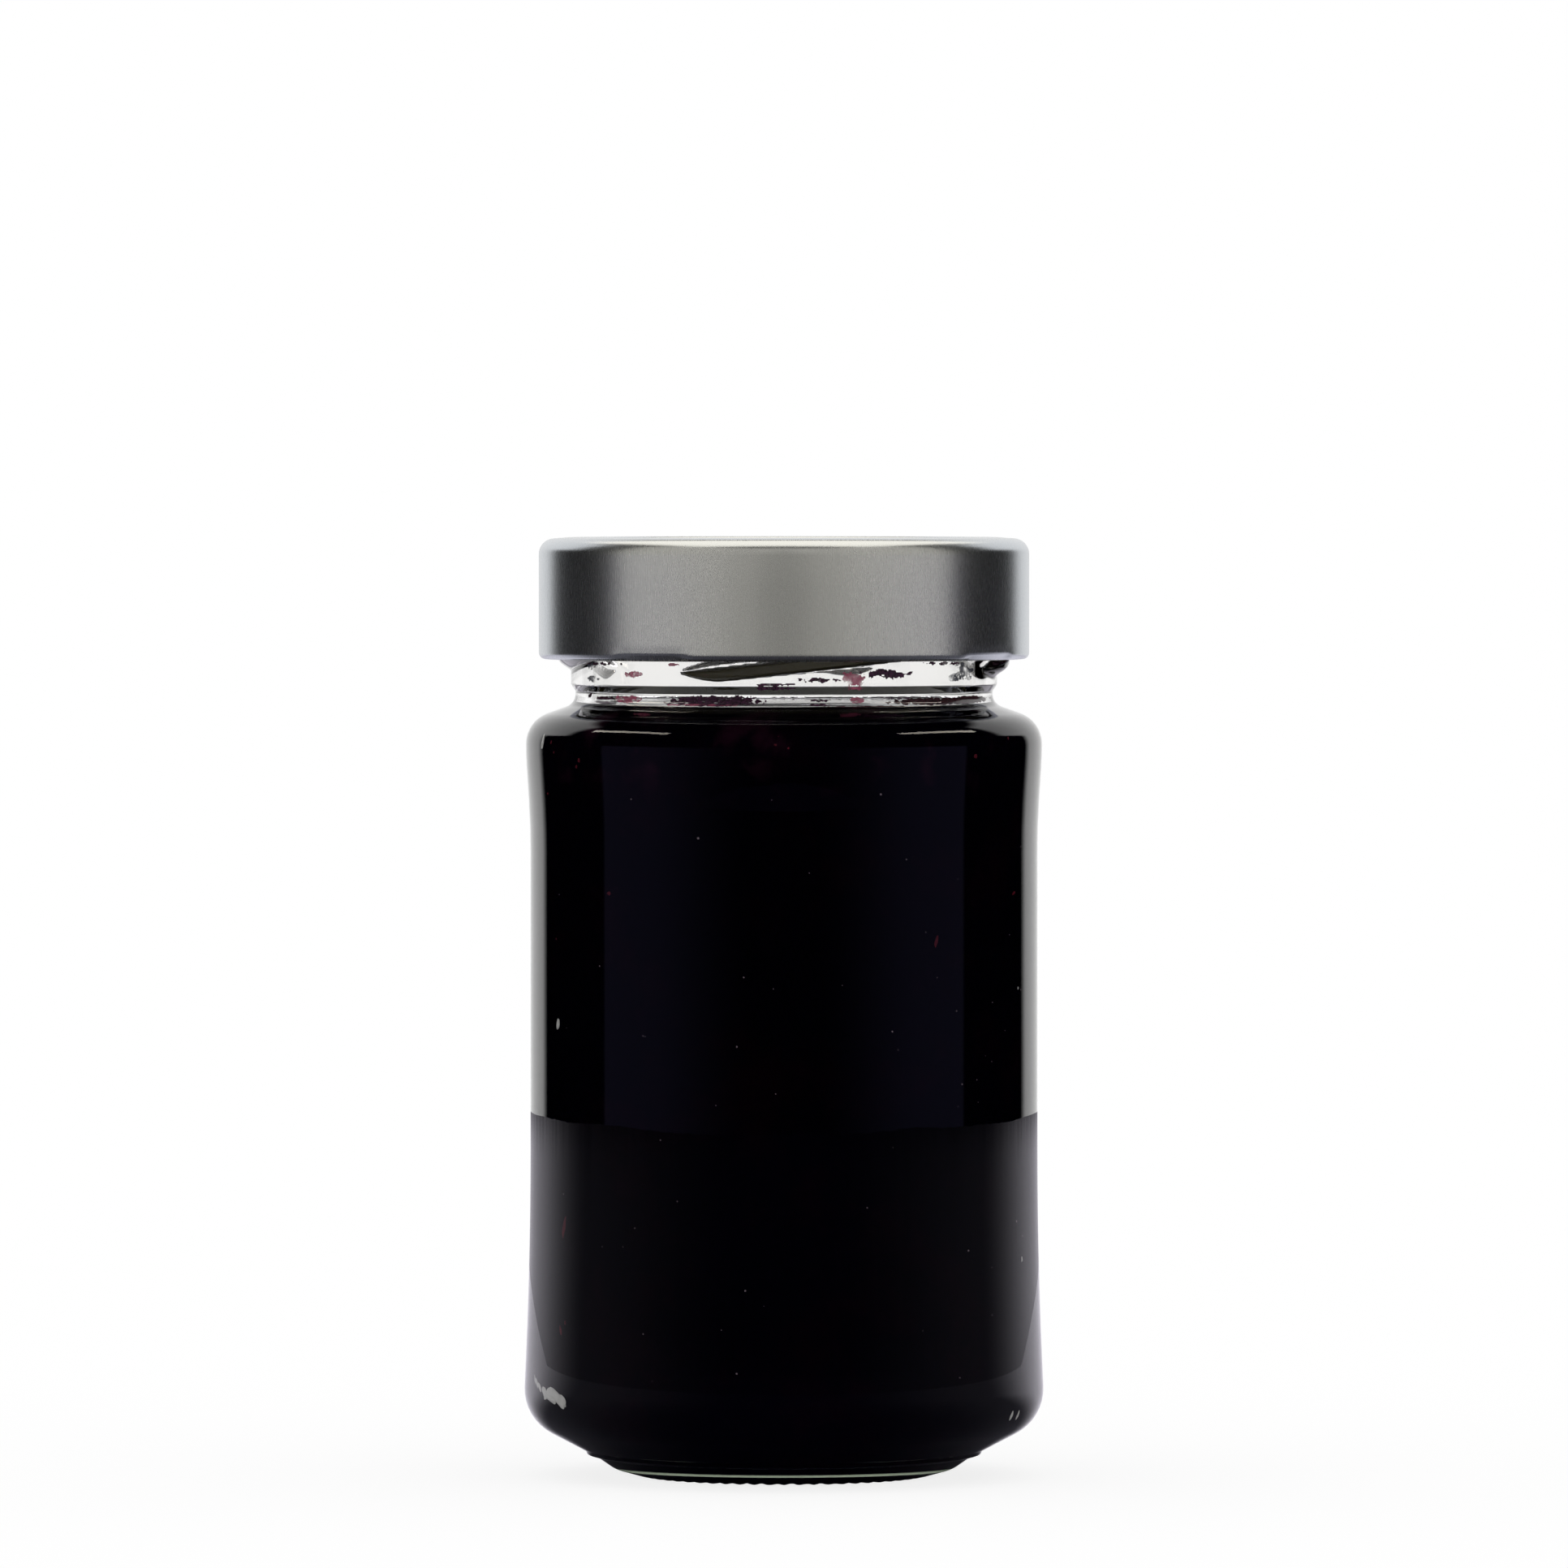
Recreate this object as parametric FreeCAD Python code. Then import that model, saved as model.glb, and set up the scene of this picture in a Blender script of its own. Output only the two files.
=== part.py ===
import FreeCAD, Part
import math
import os

# A twist-off glass jar of dark fruit spread under a deep pressed-steel lid.
# Millimetres. +Z is up, and the origin is the centre of the ring that the jar stands on.
# The front of the jar is its -Y side. Three pieces: the glass jar, its lid and the spread inside.

# Glass jar, its body
BODY_RADIUS = 37.5  # the long wall where a label goes
SHOULDER_PROUD = 0.66  # how far the bulge above the label stands beyond that wall
FOOT_PROUD = 1.1  # the same for the bulge below it, at its unrounded corner
FOOT_SLOPE = 27.7  # degrees above level, under the lower bulge
FOOT_FLARE_HEIGHT = 24.4  # from the lower bulge up to the plain wall
LABEL_HEIGHT = 63.1
SHOULDER_FLARE_HEIGHT = 10.6
SHOULDER_BULGE_HEIGHT = 5.0
SHOULDER_SLOPE = 19.5  # degrees above level
SHOULDER_ROUND = 4.8
FOOT_ROUND = 7.2
FOOT_SWEEP = 700.0  # radii of the slow curves between the wall and its bulges
FLARE_SWEEP = 120.0
BULGE_SWEEP = 40.0

# Glass jar, its foot: radii are given as distances inside the wall
STANDING_INSET = 16.3
STANDING_WIDTH = 2.0
TOE_INSET = 12.3
TOE_Z = 1.1
LEDGE_INSET = 8.35  # the small step that seats in another jar's lid
LEDGE_Z = 3.2
LEDGE = (1.5, 0.42)  # its width and rise below that edge
LEDGE_STEP = (0.2, 0.52)  # and the little wall above it
PUNT_INSET = 23.7
PUNT_HEIGHT = 2.5
RING_ROUNDS = (0.8, 4.0)  # of the standing ring's inner and outer edge
TOE_ROUND = 4.0
LEDGE_ROUNDS = (0.8, 0.3)  # of the ledge's two edges
PUNT_ROUND = 10.0
KNURL_COUNT = 60
KNURL_DEPTH = 0.25
KNURL_RADIUS = 0.8
KNURL_OVERRUN = 2.0  # how far each groove runs on past both edges of the ring

# Glass jar, its neck and finish
NECK_RADIUS = 30.85
NECK_HEIGHT = 1.8  # of the plain neck between shoulder and finish
FINISH_PROUD = 0.65  # how far the finish stands beyond the neck
FINISH_STEP = 1.0  # height of the slope between neck and finish
NECK_ROUND = 2.0
STEP_ROUNDS = (0.5, 0.6)  # of that slope's lower and upper end
RIM_ROUND = 1.2

# Glass jar, its inside
WALL = 2.5
SHOULDER_WALL = 2.7
NECK_WALL = 2.6
BASE_THICKNESS = 2.9
INNER_HEEL_LIFT = 1.6  # the inner corner of the foot above the outer one
INNER_TOE_INSET = 12.0
FLOOR_ROUND = 20.0
INNER_TOE_ROUND = 8.0
INNER_NECK_ROUND = 4.6

# Threads on the finish: each start climbs to the right
STARTS = 4
THREAD_RISE = 1.85
THREAD_LEAD = 21.8
THREAD_LENGTH = 106.0  # degrees
THREAD_START = -28.5  # degrees round from the front
THREAD_ABOVE_STEP = 1.85  # the first crest above the finish's step
THREAD_SECTIONS = 15
THREAD_FADE = 0.12  # the share of its length over which each end fades
THREAD_FLANK = (-2.0, 0.0, 0.45, 1.1)  # heights of root, crest, crest and root about its line
THREAD_ROOT = 0.4  # how deep its section starts inside the finish
THREAD_TIP = 0.12  # the share of its section left at its ends

# Lid
LID_HEIGHT = 18.0
LID_ABOVE_STEP = 3.75  # the lid's lower edge above the finish's step
LID_SIDE_GAP = 1.0  # from the thread's crest out to the rolled edge
LID_SEAT_GAP = 0.05
SHEET = 0.22
LID_ROUND = 2.3
LID_EDGE_DROP = 0.35  # from the seat ring down to the skirt's round
PANEL_DROP = 0.75
PANEL_GAP = 1.3  # from the mouth in to the sunken panel
PANEL_ROUNDS = (0.5, 0.7)  # of the foot and the top of the step around the panel
SEAT_ROUND = 8.0
CURL_RADIUS = 0.95
CURL_OPEN = 100.0  # degrees that the curl falls short of a full turn
LUG_GRIP = 0.75  # how far a lug reaches in under the thread
LUG_THICKNESS = 0.92
LUG_TIP_ROUND = 0.44
LUG_EDGE_ROUND = 0.85
LUG_HALF_ANGLE = 9.0
LUG_TURN = -33.0  # degrees round from the front

# Fruit spread
FILL_BELOW_NECK = 1.25  # its surface below the foot of the neck
FILL_CLIMB = 0.2  # it stands this much higher where it clings to the glass
FILL_CLIMB_WIDTH = 3.0
FILL_ROUND = 12.0  # between its flat middle and that rise
FILL_GAP = 0.04

# Radii and heights that follow from the sizes above
SHOULDER_RADIUS = BODY_RADIUS + SHOULDER_PROUD
FOOT_RADIUS = BODY_RADIUS + FOOT_PROUD
STANDING_RADIUS = BODY_RADIUS - STANDING_INSET
LEDGE_RADIUS = BODY_RADIUS - LEDGE_INSET
FINISH_RADIUS = NECK_RADIUS + FINISH_PROUD
MOUTH_RADIUS = NECK_RADIUS - NECK_WALL
THREAD_RADIUS = FINISH_RADIUS + THREAD_RISE
LID_RADIUS = THREAD_RADIUS + LID_SIDE_GAP + 2 * CURL_RADIUS
FOOT_TAN = math.tan(math.radians(FOOT_SLOPE))
SHOULDER_TAN = math.tan(math.radians(SHOULDER_SLOPE))
FOOT_Z = LEDGE_Z + LEDGE_STEP[1] + (FOOT_RADIUS - LEDGE_RADIUS - LEDGE_STEP[0]) * FOOT_TAN
LABEL_BOTTOM_Z = FOOT_Z + FOOT_FLARE_HEIGHT
LABEL_TOP_Z = LABEL_BOTTOM_Z + LABEL_HEIGHT
SHOULDER_BULGE_Z = LABEL_TOP_Z + SHOULDER_FLARE_HEIGHT
SHOULDER_Z = SHOULDER_BULGE_Z + SHOULDER_BULGE_HEIGHT
NECK_FOOT_Z = SHOULDER_Z + (SHOULDER_RADIUS - NECK_RADIUS) * SHOULDER_TAN
FINISH_Z = NECK_FOOT_Z + NECK_HEIGHT + FINISH_STEP
LID_BOTTOM_Z = FINISH_Z + LID_ABOVE_STEP
LID_TOP_Z = LID_BOTTOM_Z + LID_HEIGHT
RIM_Z = LID_TOP_Z - SHEET - LID_SEAT_GAP

UP = FreeCAD.Vector(0, 0, 1)
ORIGIN = FreeCAD.Vector(0, 0, 0)
FRONT = -90.0


def at(radius, z):
    return FreeCAD.Vector(radius, 0, z)


def rounded_line(corners):
    """Edges along (radius, z, round) corners, each corner rounded by a tangent arc."""
    points = [at(r, z) for r, z, _ in corners]
    edges = []
    here = points[0]
    for before, point, after, (_, _, rounding) in zip(points, points[1:], points[2:], corners[1:]):
        if rounding <= 0:
            edges.append(Part.makeLine(here, point))
            here = point
            continue
        back = (before - point).normalize()
        ahead = (after - point).normalize()
        half = back.getAngle(ahead) / 2
        start = point + back * (rounding / math.tan(half))
        end = point + ahead * (rounding / math.tan(half))
        centre = point + (back + ahead).normalize() * (rounding / math.sin(half))
        middle = centre + (point - centre).normalize() * rounding
        if (start - here).Length > 1e-6:
            edges.append(Part.makeLine(here, start))
        edges.append(Part.Arc(start, middle, end).toShape())
        here = end
    edges.append(Part.makeLine(here, points[-1]))
    return edges


def turned(edges, start=0.0, sweep=360.0):
    """The solid that a closed outline of edges makes as it turns about the jar's axis."""
    face = Part.Face(Part.Wire(edges))
    face.rotate(ORIGIN, UP, start)
    return face.revolve(ORIGIN, UP, sweep)


def closed_on_axis(corners):
    """A turned solid whose outline starts and ends on the axis."""
    edges = rounded_line(corners)
    first, last = corners[0], corners[-1]
    edges.append(Part.makeLine(at(last[0], last[1]), at(first[0], first[1])))
    return turned(edges)


def outside_corners():
    """The outside of the glass from the middle of its underside up to the rim."""
    return [
        (0, PUNT_HEIGHT, 0),
        (BODY_RADIUS - PUNT_INSET, PUNT_HEIGHT, PUNT_ROUND),
        (STANDING_RADIUS - STANDING_WIDTH, 0, RING_ROUNDS[0]),
        (STANDING_RADIUS, 0, RING_ROUNDS[1]),
        (BODY_RADIUS - TOE_INSET, TOE_Z, TOE_ROUND),
        (LEDGE_RADIUS - LEDGE[0], LEDGE_Z - LEDGE[1], LEDGE_ROUNDS[0]),
        (LEDGE_RADIUS, LEDGE_Z, LEDGE_ROUNDS[1]),
        (LEDGE_RADIUS + LEDGE_STEP[0], LEDGE_Z + LEDGE_STEP[1], LEDGE_ROUNDS[1]),
        (FOOT_RADIUS, FOOT_Z, FOOT_ROUND),
        (BODY_RADIUS, LABEL_BOTTOM_Z, FOOT_SWEEP),
        (BODY_RADIUS, LABEL_TOP_Z, FLARE_SWEEP),
        (SHOULDER_RADIUS, SHOULDER_BULGE_Z, BULGE_SWEEP),
        (SHOULDER_RADIUS, SHOULDER_Z, SHOULDER_ROUND),
        (NECK_RADIUS, NECK_FOOT_Z, NECK_ROUND),
        (NECK_RADIUS, FINISH_Z - FINISH_STEP, STEP_ROUNDS[0]),
        (FINISH_RADIUS, FINISH_Z, STEP_ROUNDS[1]),
        (FINISH_RADIUS, RIM_Z, RIM_ROUND),
        (0, RIM_Z, 0),
    ]


def inner_shoulder_z(radius):
    """Height of the inside of the shoulder at a radius."""
    outside = SHOULDER_Z + (SHOULDER_RADIUS - radius) * SHOULDER_TAN
    return outside - SHOULDER_WALL * math.hypot(1, SHOULDER_TAN)


def cavity_corners(inset=0.0):
    """The inside of the jar from the middle of its floor up to the foot of the neck."""
    wall = BODY_RADIUS - WALL
    toe = (BODY_RADIUS - INNER_TOE_INSET, TOE_Z + BASE_THICKNESS)
    floor = PUNT_HEIGHT + BASE_THICKNESS
    return [
        (0, floor + inset, 0),
        (BODY_RADIUS - PUNT_INSET, floor + inset, FLOOR_ROUND),
        (toe[0] - inset, toe[1] + inset, INNER_TOE_ROUND),
        (wall - inset, FOOT_Z + INNER_HEEL_LIFT + inset, FOOT_ROUND),
        (wall - inset, inner_shoulder_z(wall) - inset, SHOULDER_ROUND),
        (MOUTH_RADIUS - inset, inner_shoulder_z(MOUTH_RADIUS) - inset, INNER_NECK_ROUND),
    ]


def thread(start_angle):
    """One thread: a flank profile lofted up its helix, faded out at both ends."""
    sections = []
    for i in range(THREAD_SECTIONS):
        share = i / (THREAD_SECTIONS - 1)
        line_z = FINISH_Z + THREAD_ABOVE_STEP + THREAD_LEAD * share * THREAD_LENGTH / 360
        fade = min(1.0, share / THREAD_FADE, (1 - share) / THREAD_FADE)
        size = THREAD_TIP + (1 - THREAD_TIP) * math.sin(fade * math.pi / 2)
        root = FINISH_RADIUS - THREAD_ROOT
        crest = FINISH_RADIUS + THREAD_RISE * size
        radii = (root, crest, crest, root)
        corners = [at(r, line_z + dz * size) for r, dz in zip(radii, THREAD_FLANK)]
        section = Part.makePolygon(corners + corners[:1])
        section.rotate(ORIGIN, UP, start_angle + share * THREAD_LENGTH)
        sections.append(section)
    return Part.makeLoft(sections, True, False)


def knurls():
    """Round grooves across the standing ring, a radial cylinder for each."""
    inner = STANDING_RADIUS - STANDING_WIDTH - KNURL_OVERRUN
    length = STANDING_WIDTH + 2 * KNURL_OVERRUN
    grooves = []
    for i in range(KNURL_COUNT):
        start = at(inner, KNURL_DEPTH - KNURL_RADIUS)
        groove = Part.makeCylinder(KNURL_RADIUS, length, start, FreeCAD.Vector(1, 0, 0))
        groove.rotate(ORIGIN, UP, 360.0 * (i + 0.5) / KNURL_COUNT)
        grooves.append(groove)
    return grooves


def glass_jar():
    top = RIM_Z + 1.0
    flare = MOUTH_RADIUS + RIM_ROUND
    cavity = cavity_corners() + [
        (MOUTH_RADIUS, RIM_Z - RIM_ROUND, 0),
        (flare, RIM_Z, 0),
        (flare, top, 0),
        (0, top, 0),
    ]
    jar = closed_on_axis(outside_corners()).cut(closed_on_axis(cavity))
    starts = [thread(FRONT + THREAD_START + 360.0 * i / STARTS) for i in range(STARTS)]
    return jar.fuse(starts).cut(knurls())


def lid_shell(inset):
    """The lid's filled outline, or with the sheet's thickness as inset what is pressed out of it."""
    top = LID_TOP_Z - inset
    radius = LID_RADIUS - inset
    panel = MOUTH_RADIUS - PANEL_GAP + inset * math.tan(math.pi / 8)
    floor = LID_BOTTOM_Z + CURL_RADIUS
    return closed_on_axis([
        (0, top - PANEL_DROP, 0),
        (panel, top - PANEL_DROP, PANEL_ROUNDS[0] + inset),
        (panel + PANEL_DROP, top, PANEL_ROUNDS[1] - inset),
        (FINISH_RADIUS, top, SEAT_ROUND),
        (radius, top - LID_EDGE_DROP, LID_ROUND - inset),
        (radius, floor, 0),
        (0, floor, 0),
    ])


def curl_section():
    """Outline of the rolled lower edge, open on its inner side."""
    centre = at(LID_RADIUS - CURL_RADIUS, LID_BOTTOM_Z + CURL_RADIUS)
    turn = 360.0 - CURL_OPEN

    def on_circle(radius, angle):
        a = math.radians(angle)
        return centre + at(radius * math.cos(a), radius * math.sin(a))

    inner = CURL_RADIUS - SHEET
    arcs = [
        Part.Arc(*[on_circle(radius, -turn * share) for share in (0, 0.5, 1)]).toShape()
        for radius in (CURL_RADIUS, inner)
    ]
    ends = [
        Part.makeLine(on_circle(CURL_RADIUS, angle), on_circle(inner, angle))
        for angle in (0, -turn)
    ]
    return [arcs[0], ends[1], arcs[1], ends[0]]


def lug_section():
    """Outline of the edge where it is pressed flat and reaches in under the glass thread."""
    low = LID_BOTTOM_Z
    high = LID_BOTTOM_Z + LUG_THICKNESS
    join = LID_BOTTOM_Z + CURL_RADIUS
    inner = THREAD_RADIUS - LUG_GRIP
    edges = rounded_line([
        (LID_RADIUS - SHEET, join, 0),
        (LID_RADIUS - SHEET, high, 0),
        (inner, high, LUG_TIP_ROUND),
        (inner, low, LUG_TIP_ROUND),
        (LID_RADIUS, low, LUG_EDGE_ROUND),
        (LID_RADIUS, join, 0),
    ])
    edges.append(Part.makeLine(at(LID_RADIUS, join), at(LID_RADIUS - SHEET, join)))
    return edges


def lid():
    """The pressed shell with its rolled edge, and a lug in place of the roll at each start."""
    pieces = [lid_shell(0.0).cut(lid_shell(SHEET))]
    lug_sweep = 2 * LUG_HALF_ANGLE
    for i in range(STARTS):
        start = FRONT + LUG_TURN - LUG_HALF_ANGLE + 360.0 * i / STARTS
        pieces.append(turned(lug_section(), start, lug_sweep))
        pieces.append(turned(curl_section(), start + lug_sweep, 360.0 / STARTS - lug_sweep))
    return pieces[0].fuse(pieces[1:])


def fruit_spread():
    top = NECK_FOOT_Z - FILL_BELOW_NECK
    high = NECK_FOOT_Z + NECK_HEIGHT
    edge = MOUTH_RADIUS - FILL_GAP
    filling = closed_on_axis(cavity_corners(FILL_GAP) + [(edge, high, 0), (0, high, 0)])
    space_above = closed_on_axis([
        (0, top, 0),
        (edge - FILL_CLIMB_WIDTH, top, FILL_ROUND),
        (edge + FILL_CLIMB_WIDTH, top + 2 * FILL_CLIMB, 0),
        (edge + FILL_CLIMB_WIDTH, high + 1.0, 0),
        (0, high + 1.0, 0),
    ])
    return filling.cut(space_above)


def main():
    os.makedirs("parts", exist_ok=True)
    pieces = {"jar_glass": glass_jar(), "lid": lid(), "fruit_spread": fruit_spread()}
    for name, shape in pieces.items():
        shape.exportStep(f"parts/{name}.step")
        litres = shape.Volume / 1e6
        print(f"{name}: {len(shape.Solids)} solid, valid {shape.isValid()}, {litres:.4f} litres")


main()
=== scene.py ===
import math
import random

import bpy
from mathutils import Matrix, Quaternion, Vector, noise


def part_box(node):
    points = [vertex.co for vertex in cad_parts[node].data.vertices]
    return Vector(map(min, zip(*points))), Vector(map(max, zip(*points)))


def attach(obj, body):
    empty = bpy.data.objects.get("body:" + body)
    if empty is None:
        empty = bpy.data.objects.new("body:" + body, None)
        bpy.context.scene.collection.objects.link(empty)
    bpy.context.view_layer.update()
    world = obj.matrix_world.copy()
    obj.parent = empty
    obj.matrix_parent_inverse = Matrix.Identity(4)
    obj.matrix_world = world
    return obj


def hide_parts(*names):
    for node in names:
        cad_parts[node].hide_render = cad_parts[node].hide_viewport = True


bl_info = {
    "name": "Twist-off jar",
    "version": (1, 0, 0),
    "blender": (4, 5, 0),
    "location": "View3D > Sidebar > Jar",
    "description": "Builds a twist-off glass jar of dark fruit spread, piece by piece",
    "category": "Add Mesh",
}

# The jar stands on z = 0 with its axis on z, and its front is its -Y side. Metres.
# Angles round the jar are counted from the front, and grow towards +X.
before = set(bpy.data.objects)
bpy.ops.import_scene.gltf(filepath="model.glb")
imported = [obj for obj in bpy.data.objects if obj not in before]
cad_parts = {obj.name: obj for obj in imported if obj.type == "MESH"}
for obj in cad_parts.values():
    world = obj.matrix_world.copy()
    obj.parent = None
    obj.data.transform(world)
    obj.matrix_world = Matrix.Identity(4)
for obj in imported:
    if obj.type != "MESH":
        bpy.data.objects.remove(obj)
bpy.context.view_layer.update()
GLASS_LOW, GLASS_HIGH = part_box("jar_glass")
LID_LOW, LID_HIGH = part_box("lid")

MM = 0.001
TURN = 2 * math.pi
STARTS = 4  # threads on the glass, and lugs on the lid
SEAM = 125 * MM  # height in the mouth where the glass's outer and inner outlines meet


# ---------------------------------------------------------------- sizes

def length(name, description, default):
    return bpy.props.FloatProperty(
        name=name, description=description, default=default, subtype="DISTANCE", unit="LENGTH", precision=5
    )


def angle(name, description, degrees):
    return bpy.props.FloatProperty(
        name=name, description=description, default=math.radians(degrees), subtype="ANGLE", unit="ROTATION"
    )


def number(name, description, default):
    return bpy.props.FloatProperty(name=name, description=description, default=default)


def count(name, description, default):
    return bpy.props.IntProperty(name=name, description=description, default=default, min=1)


def colour(name, description, default):
    return bpy.props.FloatVectorProperty(
        name=name, description=description, default=default, size=3, subtype="COLOR", min=0, max=1
    )


class JarGlassSizes(bpy.types.PropertyGroup):
    body_radius: length("Body radius", "Outside of the long plain wall", 37.5 * MM)
    shoulder_radius: length("Shoulder radius", "Bulge above the plain wall", 38.16 * MM)
    foot_radius: length("Foot radius", "Bulge below the plain wall, before it is rounded", 38.6 * MM)
    neck_radius: length("Neck radius", "Plain neck under the finish", 30.85 * MM)
    finish_radius: length("Finish radius", "Glass between the threads", 31.5 * MM)
    mouth_radius: length("Mouth radius", "Inside of the neck", 28.25 * MM)
    inner_radius: length("Inner radius", "Inside of the plain wall", 35.0 * MM)
    rim_height: length("Rim height", "Top of the glass", GLASS_HIGH.z)
    thread_rise: length("Thread rise", "How far a thread stands out", 1.85 * MM)
    thread_lead: length("Thread lead", "Climb of a thread in one turn", 21.8 * MM)
    thread_sweep: angle("Thread sweep", "Angle that one thread covers", 106)
    thread_start: angle("Thread start", "Where the first thread starts", -28.5)
    second_thread_late: angle("Second thread late", "How much later the next thread towards +X starts", 7)
    thread_height: length("Thread height", "Crest of a thread at its start", 119.265 * MM)
    knurl_count: count("Knurls", "Grooves across the standing ring", 60)
    knurl_depth: length("Knurl depth", "Depth of those grooves", 0.30 * MM)
    tint: colour("Tint", "Colour of the glass", (0.944, 0.941, 0.931))


class JarLidSizes(bpy.types.PropertyGroup):
    radius: length("Radius", "Outside of the skirt", LID_HIGH.x)
    bottom: length("Bottom", "Height of the rolled edge's underside", LID_LOW.z)
    top: length("Top", "Height of the seat ring", LID_HIGH.z)
    sheet: length("Sheet", "Thickness of the steel", 0.22 * MM)
    curl_radius: length("Curl radius", "Outside of the rolled edge", 0.95 * MM)
    panel_radius: length("Panel radius", "Foot of the step round the sunken panel", 26.95 * MM)
    panel_drop: length("Panel drop", "Depth of the sunken panel", 0.75 * MM)
    lug_angle: angle("Lug angle", "Middle of the first lug", -33)
    lug_half: angle("Lug half width", "Half of a lug's angle", 9)
    steel: colour("Steel", "Satin steel of the outside", (0.555, 0.585, 0.615))
    lacquer: colour("Lacquer", "Lacquer of the inside", (0.052, 0.046, 0.016))


class JarSpreadSizes(bpy.types.PropertyGroup):
    reach: length("Reach", "How far the spread runs on into the glass wall", 0.12 * MM)
    top: length("Top", "Height of the spread's surface", 113.015 * MM)
    climb: length("Climb", "How far it climbs the glass", 0.2 * MM)
    body_colour: colour("Spread", "Colour of the spread", (0.0005, 0.0003, 0.0016))
    deep_colour: colour("Spread, warm", "Its warmer patches", (0.0020, 0.0004, 0.0018))
    shoulder_colour: colour("Spread, red", "Its redder colour near the top", (0.009, 0.002, 0.006))
    smear_colour: colour("Smear", "Colour of a thick smear", (0.030, 0.006, 0.022))
    red_colour: colour("Red smear", "Colour of a thinner smear", (0.020, 0.0015, 0.005))
    stain_colour: colour("Stain", "Colour of a thin stain", (0.80, 0.16, 0.30))
    grey_colour: colour("Dried film", "Colour of a dried film", (0.16, 0.17, 0.22))
    # Painted light: the colour of a ring that stands in for the line of light in the foot
    painted_glint_colour: colour("Glint", "Colour of the line of light in the foot", (0.80, 0.95, 0.72))
    skin_colour: colour("Skin", "Colour of bits of fruit skin", (0.11, 0.004, 0.015))
    pip_colour: colour("Pip", "Colour of pips", (0.30, 0.24, 0.28))
    # Painted reflection: the pale grey of the air pockets stands in for the light that the glass reflects
    # there
    air_reflection_colour: colour("Air", "Colour of air caught at the glass", (0.619, 0.619, 0.605))


class JarStageSizes(bpy.types.PropertyGroup):
    floor_radius: length("Floor radius", "Radius of the round floor", 0.82)
    floor_colour: colour("Floor", "Colour of the floor", (0.30, 0.30, 0.30))
    camera_distance: length("Camera distance", "From the camera to the jar's axis", 1.967)
    camera_height: length("Camera height", "Height of the camera", 0.147)
    aim_height: length("Aim height", "Height that it looks at", 0.1023)
    lens: number("Lens", "Focal length in millimetres", 305.4)
    lid_box: number("Lid boxes", "Radiance that the lid's side, front and low boxes are shares of", 0.55)
    lid_top_box: number("Lid top box", "Radiance of the soft box above the lid", 1.5)
    shoulder_strip: number("Shoulder strips", "Radiance of the two strips that edge the shoulder", 4.0)


def sizes():
    return bpy.context.scene.jar_glass, bpy.context.scene.jar_lid, bpy.context.scene.jar_spread


# ---------------------------------------------------------------- outlines
# Corners are (radius, height, round). Those of the wall's outside hang on its radius.

RIM_ROUND = 1.2 * MM


def rounded(corners, turn_step=math.radians(9), longest=0.006):
    """Points along (radius, height, round) corners, with a tangent arc at each corner."""
    line = [Vector(c[:2]) for c in corners]
    points = [line[0]]

    def run_to(end):
        start = points[-1]
        parts = max(1, math.ceil((end - start).length / longest - 1e-6))
        points.extend(start.lerp(end, i / parts) for i in range(1, parts + 1))

    for before, corner, after, spec in zip(line, line[1:], line[2:], corners[1:]):
        rounding = spec[2]
        if rounding <= 0:
            run_to(corner)
            continue
        back = (before - corner).normalized()
        ahead = (after - corner).normalized()
        half = back.angle(ahead) / 2
        start = corner + back * (rounding / math.tan(half))
        centre = corner + (back + ahead).normalized() * (rounding / math.sin(half))
        if (start - points[-1]).length > 1e-7:
            run_to(start)
        bend = math.pi - 2 * half
        if back.cross(ahead) > 0:
            bend = -bend
        parts = max(2, math.ceil(abs(bend) / turn_step), math.ceil(abs(bend) * rounding / longest))
        arm = start - centre
        for i in range(1, parts + 1):
            a = bend * i / parts
            points.append(centre + Vector((
                arm.x * math.cos(a) - arm.y * math.sin(a),
                arm.x * math.sin(a) + arm.y * math.cos(a),
            )))
    run_to(line[-1])
    return points


def finer(points, low, high, spacing, least_radius):
    """The same points, with the runs between two heights cut into short steps."""
    out = [points[0]]
    for a, b in zip(points, points[1:]):
        if min(a.x, b.x) > least_radius and min(a.y, b.y) > low and max(a.y, b.y) < high:
            parts = max(1, math.ceil((b - a).length / spacing))
            out.extend(a.lerp(b, i / parts) for i in range(1, parts))
        out.append(b)
    return out


def outside_outline(glass):
    body, foot, shoulder = glass.body_radius, glass.foot_radius, glass.shoulder_radius
    return [
        (0, 2.5 * MM, 0),  # the pushed-up base
        (body - 23.7 * MM, 2.5 * MM, 10 * MM),
        (body - 18.3 * MM, 0, 0.8 * MM),  # the standing ring
        (body - 16.3 * MM, 0, 4 * MM),
        (body - 12.3 * MM, 1.1 * MM, 4 * MM),  # the toe
        (body - 9.85 * MM, 2.78 * MM, 0.8 * MM),  # the ledge for another jar's lid
        (body - 8.35 * MM, 3.2 * MM, 0.3 * MM),
        (body - 8.15 * MM, 3.72 * MM, 0.3 * MM),
        (foot, 8.576 * MM, 7.2 * MM),  # the lower bulge
        (body, 32.976 * MM, 700 * MM),  # the plain wall
        (body, 96.076 * MM, 120 * MM),
        (shoulder, 106.676 * MM, 40 * MM),  # the upper bulge
        (shoulder, 111.676 * MM, 4.8 * MM),
        (glass.neck_radius, 114.265 * MM, 2.0 * MM),  # the plain neck
        (glass.neck_radius, 116.065 * MM, 0.5 * MM),
        (glass.finish_radius, 117.065 * MM, 0.6 * MM),  # the finish
        (glass.finish_radius, glass.rim_height, RIM_ROUND),
    ]


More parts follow.
